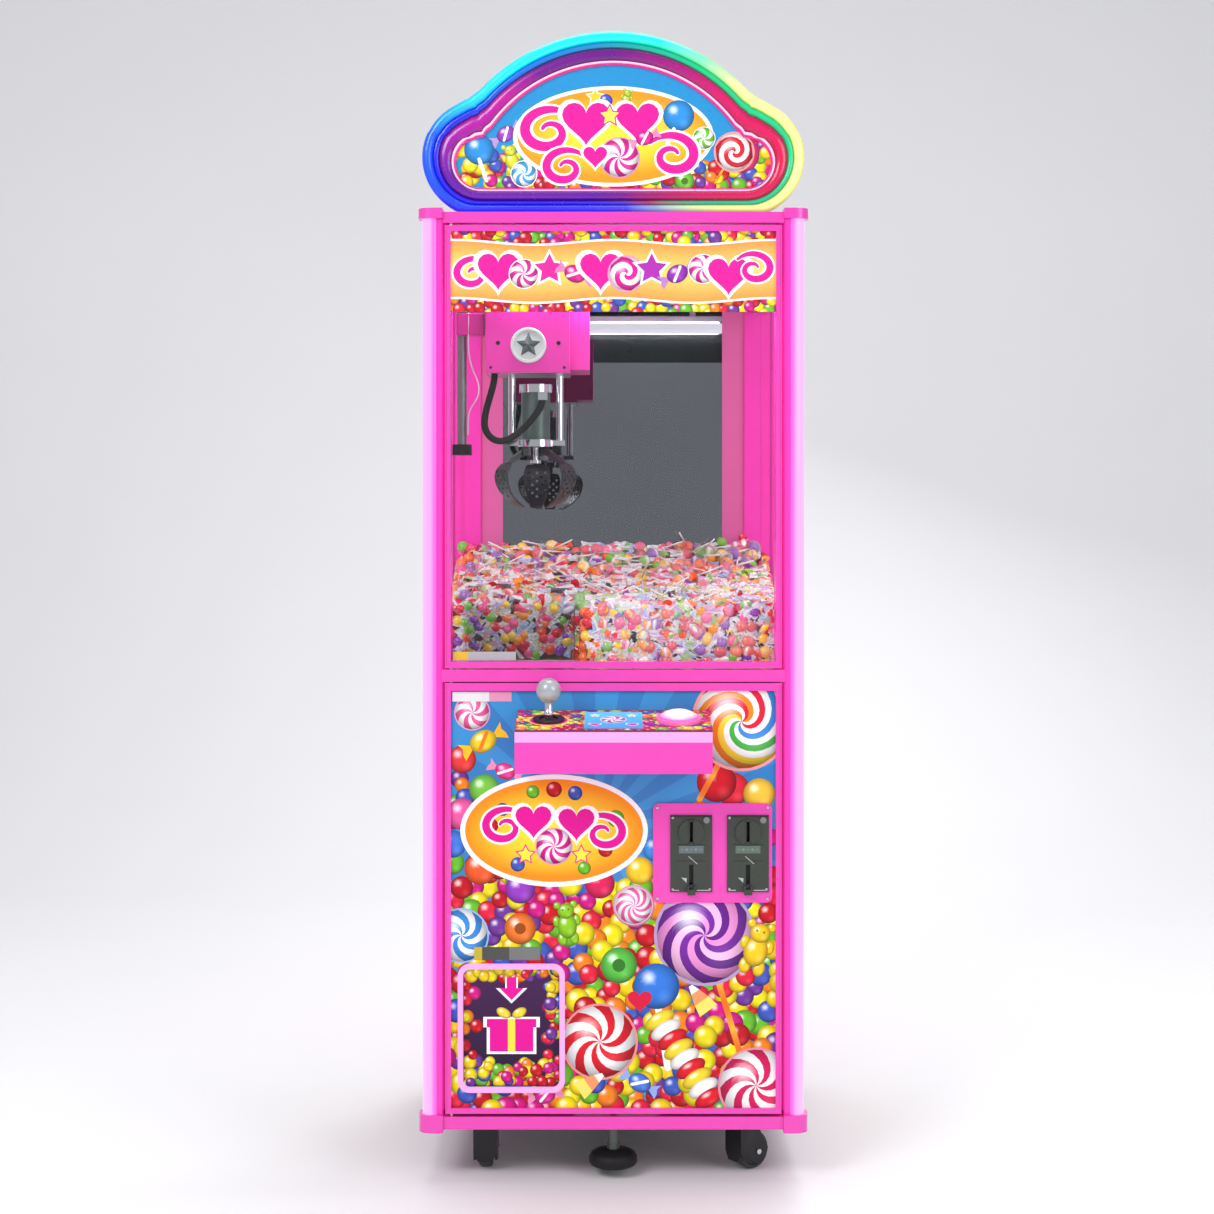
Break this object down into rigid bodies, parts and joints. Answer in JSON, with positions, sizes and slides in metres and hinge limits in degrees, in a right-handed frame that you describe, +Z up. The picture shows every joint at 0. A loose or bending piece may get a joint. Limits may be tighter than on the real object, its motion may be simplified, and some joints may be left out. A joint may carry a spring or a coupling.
{
  "type": "claw crane machine",
  "caption": "Upright candy claw machine: glazed cabin with gantry and claw, prize chute, joystick shelf, coin slots, lit corners, cloud sign, casters.",
  "frame": {"origin": "centre of the footprint's bounding box, on the floor", "axes": "+Z up, +X to the machine's right as seen from the front, +Y to the back"},
  "size_m": [0.644, 0.772, 1.902],
  "materials": {
    "pink_paint": "gloss",
    "light_tube": "lit",
    "black_steel": "satin",
    "clear_glass": "clear",
    "clear_acrylic": "clear acrylic",
    "mirror": "mirror",
    "white_panel": "satin",
    "duct_steel": "satin",
    "sweets": "gloss",
    "led_white": "lit",
    "zinc_steel": "zinc plated",
    "topper_body": "gloss",
    "neon": "lit",
    "lit_art": "lit print",
    "art_print": "printed",
    "black_plastic": "matte",
    "red_plastic": "gloss",
    "chrome": "polished",
    "coil_body": "satin",
    "button_ring": "gloss",
    "button_lens": "lit",
    "pink_cover": "satin",
    "hose_rubber": "corrugated",
    "wheel_rubber": "grey tread",
    "foot_rubber": "matte",
    "grey_steel": "grey"
  },
  "bodies": {
    "cabinet": {"corner_posts": "pink_paint", "cross_rails": "pink_paint", "corner_caps": "pink_paint", "corner_light_tubes": "light_tube", "base_plate": "black_steel", "side_panels": "pink_paint", "side_windows": "clear_glass", "rear_panel": "pink_paint", "back_mirror": "mirror", "roof_panel": "pink_paint", "prize_deck": "white_panel", "chute_walls": "clear_acrylic", "prize_duct": "duct_steel", "candy_fill": "sweets", "led_light_bar": "led_white", "gantry_side_rails": "zinc_steel", "topper_box": "topper_body", "topper_neon_ring": "neon", "topper_face": "lit_art", "coin_box": "grey_steel", "power_inlet": "black_plastic"},
    "upper_door": {"upper_door_frame": "pink_paint", "upper_door_glass": "clear_glass", "header_sign": "lit_art"},
    "lower_door": {"lower_door_frame": "pink_paint", "lower_door_panel": "art_print", "control_shelf": "pink_paint", "shelf_top_plate": "lit_art", "shelf_light_strip": "led_white", "coin_plate": "pink_paint", "coin_mechs": "black_plastic", "joystick_base": "black_plastic", "button_housing": "button_ring", "prize_door_trim": "light_tube"},
    "prize_flap": {"prize_flap": "black_plastic"},
    "power_rocker": {"power_rocker": "red_plastic"},
    "coin_reject_left": {"coin_reject_left": "chrome"},
    "coin_reject_right": {"coin_reject_right": "chrome"},
    "joystick_gimbal": {"joystick_gimbal": "zinc_steel"},
    "joystick_stick": {"joystick_stick": "chrome"},
    "push_button": {"push_button": "button_lens"},
    "bridge": {"bridge_beam": "zinc_steel"},
    "carriage": {"carriage_chassis": "zinc_steel", "carriage_cover": "pink_cover", "control_hose": "hose_rubber"},
    "claw_head": {"claw_coil": "coil_body"},
    "claw_plunger": {"claw_plunger": "chrome"},
    "claw_finger_a": {"claw_finger_a": "black_steel"},
    "claw_finger_b": {"claw_finger_b": "black_steel"},
    "claw_finger_c": {"claw_finger_c": "black_steel"},
    "leveller_front": {"leveller_front": "foot_rubber"},
    "leveller_rear": {"leveller_rear": "foot_rubber"},
    "caster_fork_fl": {"caster_fork_fl": "black_steel"},
    "caster_wheel_fl": {"caster_wheel_fl": "wheel_rubber"},
    "caster_fork_fr": {"caster_fork_fr": "black_steel"},
    "caster_wheel_fr": {"caster_wheel_fr": "wheel_rubber"},
    "caster_fork_rl": {"caster_fork_rl": "black_steel"},
    "caster_wheel_rl": {"caster_wheel_rl": "wheel_rubber"},
    "caster_fork_rr": {"caster_fork_rr": "black_steel"},
    "caster_wheel_rr": {"caster_wheel_rr": "wheel_rubber"}
  },
  "joints": [
    {"name": "door_upper", "type": "hinge", "parent": "cabinet", "child": "upper_door", "pos_m": [-0.268, -0.258, 1.2], "axis": [0, 0, -1], "range_deg": [0, 110]},
    {"name": "door_lower", "type": "hinge", "parent": "cabinet", "child": "lower_door", "pos_m": [-0.268, -0.258, 0.47], "axis": [0, 0, -1], "range_deg": [0, 100]},
    {"name": "flap_prize", "type": "hinge", "parent": "lower_door", "child": "prize_flap", "pos_m": [-0.1685, -0.254, 0.355], "axis": [1, 0, 0], "range_deg": [0, 55]},
    {"name": "bridge_travel", "type": "slide", "parent": "cabinet", "child": "bridge", "axis": [0, 1, 0], "range_m": [0, 0.33]},
    {"name": "carriage_travel", "type": "slide", "parent": "bridge", "child": "carriage", "axis": [1, 0, 0], "range_m": [0, 0.28]},
    {"name": "claw_drop", "type": "slide", "parent": "carriage", "child": "claw_head", "axis": [0, 0, 1], "range_m": [-0.115, 0], "deforming": ["control_hose"]},
    {"name": "claw_grip", "type": "slide", "parent": "claw_head", "child": "claw_plunger", "axis": [0, 0, 1], "range_m": [-0.01, 0.003]},
    {"name": "finger_a", "type": "hinge", "parent": "claw_head", "child": "claw_finger_a", "pos_m": [-0.15278, -0.148, 1.21], "axis": [-0.5, 0.866, 0], "range_deg": [-11, 35]},
    {"name": "finger_b", "type": "hinge", "parent": "claw_head", "child": "claw_finger_b", "pos_m": [-0.132, -0.112, 1.21], "axis": [1, 0, 0], "range_deg": [-11, 35]},
    {"name": "finger_c", "type": "hinge", "parent": "claw_head", "child": "claw_finger_c", "pos_m": [-0.11122, -0.148, 1.21], "axis": [-0.5, -0.866, 0], "range_deg": [-11, 35]},
    {"name": "button_press", "type": "slide", "parent": "lower_door", "child": "push_button", "axis": [0, 0.1644, -0.9864], "range_m": [0, 0.0035], "stiffness_N_per_m": 500, "springref_m": -0.004},
    {"name": "coin_reject_left_press", "type": "slide", "parent": "lower_door", "child": "coin_reject_left", "axis": [0, 1, 0], "range_m": [0, 0.003], "stiffness_N_per_m": 150, "springref_m": -0.003},
    {"name": "coin_reject_right_press", "type": "slide", "parent": "lower_door", "child": "coin_reject_right", "axis": [0, 1, 0], "range_m": [0, 0.003], "stiffness_N_per_m": 150, "springref_m": -0.003},
    {"name": "joystick_pitch", "type": "hinge", "parent": "lower_door", "child": "joystick_gimbal", "pos_m": [-0.105, -0.32271, 0.75027], "axis": [1, 0, 0], "range_deg": [-12, 12], "stiffness_Nm_per_rad": 1.5},
    {"name": "joystick_roll", "type": "hinge", "parent": "joystick_gimbal", "child": "joystick_stick", "pos_m": [-0.105, -0.32271, 0.75027], "axis": [0, 0.9864, 0.1644], "range_deg": [-12, 12], "stiffness_Nm_per_rad": 1.5},
    {"name": "rocker_switch", "type": "hinge", "parent": "cabinet", "child": "power_rocker", "pos_m": [-0.21, 0.371, 0.182], "axis": [1, 0, 0], "range_deg": [0, 20]},
    {"name": "swivel_fl", "type": "hinge", "parent": "cabinet", "child": "caster_fork_fl", "pos_m": [-0.215, -0.191, 0.08], "axis": [0, 0, 1], "continuous": true},
    {"name": "wheel_fl", "type": "hinge", "parent": "caster_fork_fl", "child": "caster_wheel_fl", "pos_m": [-0.215, -0.169, 0.031], "axis": [-1, 0, 0], "continuous": true},
    {"name": "swivel_fr", "type": "hinge", "parent": "cabinet", "child": "caster_fork_fr", "pos_m": [0.215, -0.191, 0.08], "axis": [0, 0, 1], "continuous": true},
    {"name": "wheel_fr", "type": "hinge", "parent": "caster_fork_fr", "child": "caster_wheel_fr", "pos_m": [0.23234, -0.17746, 0.031], "axis": [-0.6157, 0.788, 0], "continuous": true},
    {"name": "swivel_rl", "type": "hinge", "parent": "cabinet", "child": "caster_fork_rl", "pos_m": [-0.215, 0.305, 0.08], "axis": [0, 0, 1], "continuous": true},
    {"name": "wheel_rl", "type": "hinge", "parent": "caster_fork_rl", "child": "caster_wheel_rl", "pos_m": [-0.20931, 0.32625, 0.031], "axis": [-0.9659, 0.2588, 0], "continuous": true},
    {"name": "swivel_rr", "type": "hinge", "parent": "cabinet", "child": "caster_fork_rr", "pos_m": [0.215, 0.305, 0.08], "axis": [0, 0, 1], "continuous": true},
    {"name": "wheel_rr", "type": "hinge", "parent": "caster_fork_rr", "child": "caster_wheel_rr", "pos_m": [0.204, 0.32405, 0.031], "axis": [-0.866, -0.5, 0], "continuous": true},
    {"name": "leveller_front_down", "type": "slide", "parent": "cabinet", "child": "leveller_front", "axis": [0, 0, -1], "range_m": [0, 0.015]},
    {"name": "leveller_rear_down", "type": "slide", "parent": "cabinet", "child": "leveller_rear", "axis": [0, 0, -1], "range_m": [0, 0.015]}
  ],
  "couplings": [
    {"joint": "finger_a", "follows": "claw_grip", "rad_per_m": -60},
    {"joint": "finger_b", "follows": "claw_grip", "rad_per_m": -60},
    {"joint": "finger_c", "follows": "claw_grip", "rad_per_m": -60}
  ]
}
